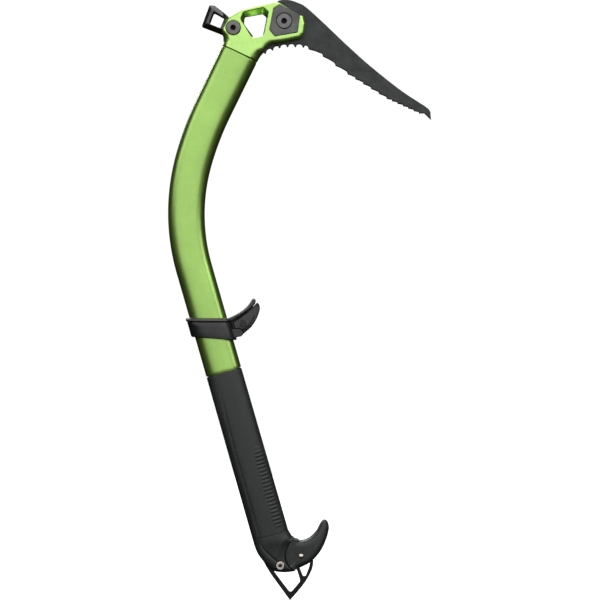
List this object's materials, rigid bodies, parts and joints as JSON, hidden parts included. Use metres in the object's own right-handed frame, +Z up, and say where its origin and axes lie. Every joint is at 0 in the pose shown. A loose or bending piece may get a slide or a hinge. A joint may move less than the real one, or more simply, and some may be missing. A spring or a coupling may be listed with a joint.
{
  "type": "ice axe",
  "caption": "Technical ice axe with a bent tube shaft, toothed pick, small hammer, sliding finger trigger, rubber grip, folding finger hook and spike.",
  "frame": {"origin": "middle of the hand grip, on the centreline of the shaft", "axes": "+Z up with the pick on top and the spike at the bottom, +X towards the pick's side, +Y through the thickness, away from the near side"},
  "size_m": [0.2198, 0.0266, 0.5018],
  "materials": {
    "green_anodised": "satin anodised green",
    "green_forging": "satin anodised green forging",
    "black_steel": "matt black coated steel",
    "grey_steel": "dark grey coated steel",
    "bolt_steel": "dark grey plated steel",
    "bright_steel": "plain stainless steel",
    "plain_alloy": "machined, not anodised",
    "black_nylon": "moulded black nylon, satin",
    "grip_rubber": "moulded black rubber, fine ribs"
  },
  "bodies": {
    "axe": {"shaft": "green_anodised", "head": "green_forging", "pick": "black_steel", "pick_plate_near": "grey_steel", "pick_plate_far": "grey_steel", "pick_bolt": "bolt_steel", "pick_nut": "bolt_steel", "micro_hammer": "black_steel", "hammer_bolt": "bolt_steel", "hammer_nut": "bolt_steel", "grip_sleeve": "grip_rubber", "end_block": "plain_alloy", "pommel": "black_nylon", "pommel_bolt": "bright_steel", "pommel_nut": "bright_steel", "spike": "black_steel"},
    "finger_trigger": {"strike_collar": "black_nylon", "strike_lever_pin": "bolt_steel"},
    "trigger_lever": {"strike_lever": "black_nylon", "strike_screw": "bolt_steel"},
    "finger_hook": {"fang": "black_nylon", "fang_pin": "bright_steel", "fang_washer_near": "bright_steel", "fang_washer_far": "bright_steel"}
  },
  "joints": [
    {"name": "trigger_slide", "type": "slide", "parent": "axe", "child": "finger_trigger", "axis": [0.2756, 0, -0.9613], "range_m": [-0.008, 0.022]},
    {"name": "lever_flip", "type": "hinge", "parent": "finger_trigger", "child": "trigger_lever", "pos_m": [-0.0065, 0, 0.1005], "axis": [0, 1, 0], "range_deg": [0, 70]},
    {"name": "hook_fold", "type": "hinge", "parent": "axe", "child": "finger_hook", "pos_m": [0.0452, 0, -0.0853], "axis": [0, 1, 0], "range_deg": [0, 95]}
  ]
}
